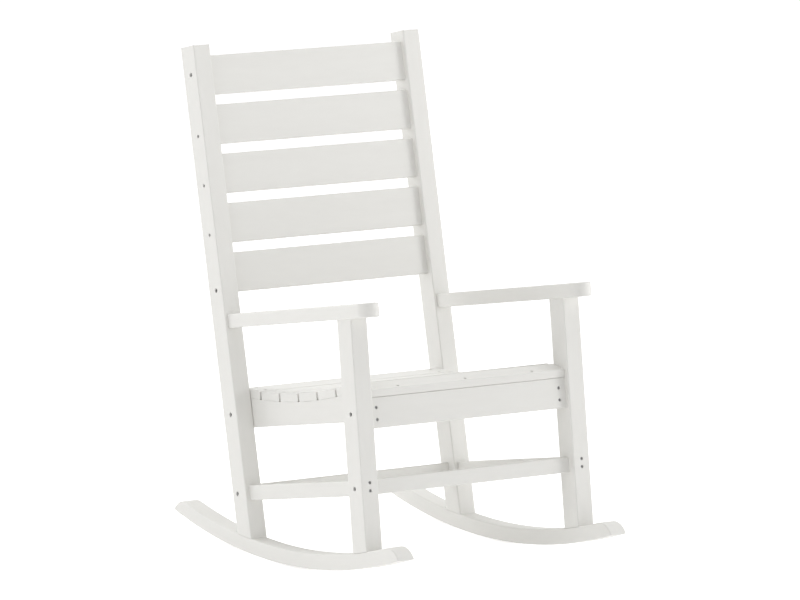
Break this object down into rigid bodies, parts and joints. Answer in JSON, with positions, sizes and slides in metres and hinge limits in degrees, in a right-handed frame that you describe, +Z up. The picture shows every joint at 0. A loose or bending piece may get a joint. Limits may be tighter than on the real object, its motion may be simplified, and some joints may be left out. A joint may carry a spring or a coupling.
{
  "type": "rocking chair",
  "caption": "Slatted porch rocking chair with level tapered arms, a dished seat, a raked horizontal-slat back and bowed rockers, in white plastic lumber.",
  "frame": {"origin": "on the floor under the middle of the bounding box, with the empty chair in the pose in which it balances on its rockers", "axes": "+Z up, -Y towards the front of the seat, +X towards the left hand of a person who sits in it"},
  "size_m": [0.6224, 0.9212, 1.12],
  "materials": {
    "lumber": "satin",
    "fastener": "satin",
    "white_fastener": "satin"
  },
  "bodies": {
    "root": {"rocker_left": "lumber", "rocker_right": "lumber", "rear_post_left": "lumber", "rear_post_right": "lumber", "front_post_left": "lumber", "front_post_right": "lumber", "arm_left": "lumber", "arm_right": "lumber", "side_stretcher_left": "lumber", "side_stretcher_right": "lumber", "seat_side_rail_left": "lumber", "seat_side_rail_right": "lumber", "front_stretcher": "lumber", "rear_stretcher": "lumber", "seat_front_rail": "lumber", "seat_rear_rail": "lumber", "seat_slat_1": "lumber", "seat_slat_2": "lumber", "seat_slat_3": "lumber", "seat_slat_4": "lumber", "seat_slat_5": "lumber", "seat_slat_6": "lumber", "seat_nose_slat": "lumber", "back_slat_1": "lumber", "back_slat_2": "lumber", "back_slat_3": "lumber", "back_slat_4": "lumber", "back_slat_5": "lumber", "back_frame_bolts": "fastener", "back_slat_screws": "fastener", "seat_rail_bolts": "fastener", "stretcher_bolts": "fastener", "front_rail_screws": "fastener", "rear_rail_screws": "fastener", "side_stretcher_screws": "fastener", "arm_front_screws": "white_fastener", "arm_rear_screws": "fastener", "rocker_screws": "fastener", "seat_slat_screws": "white_fastener"}
  },
  "joints": []
}
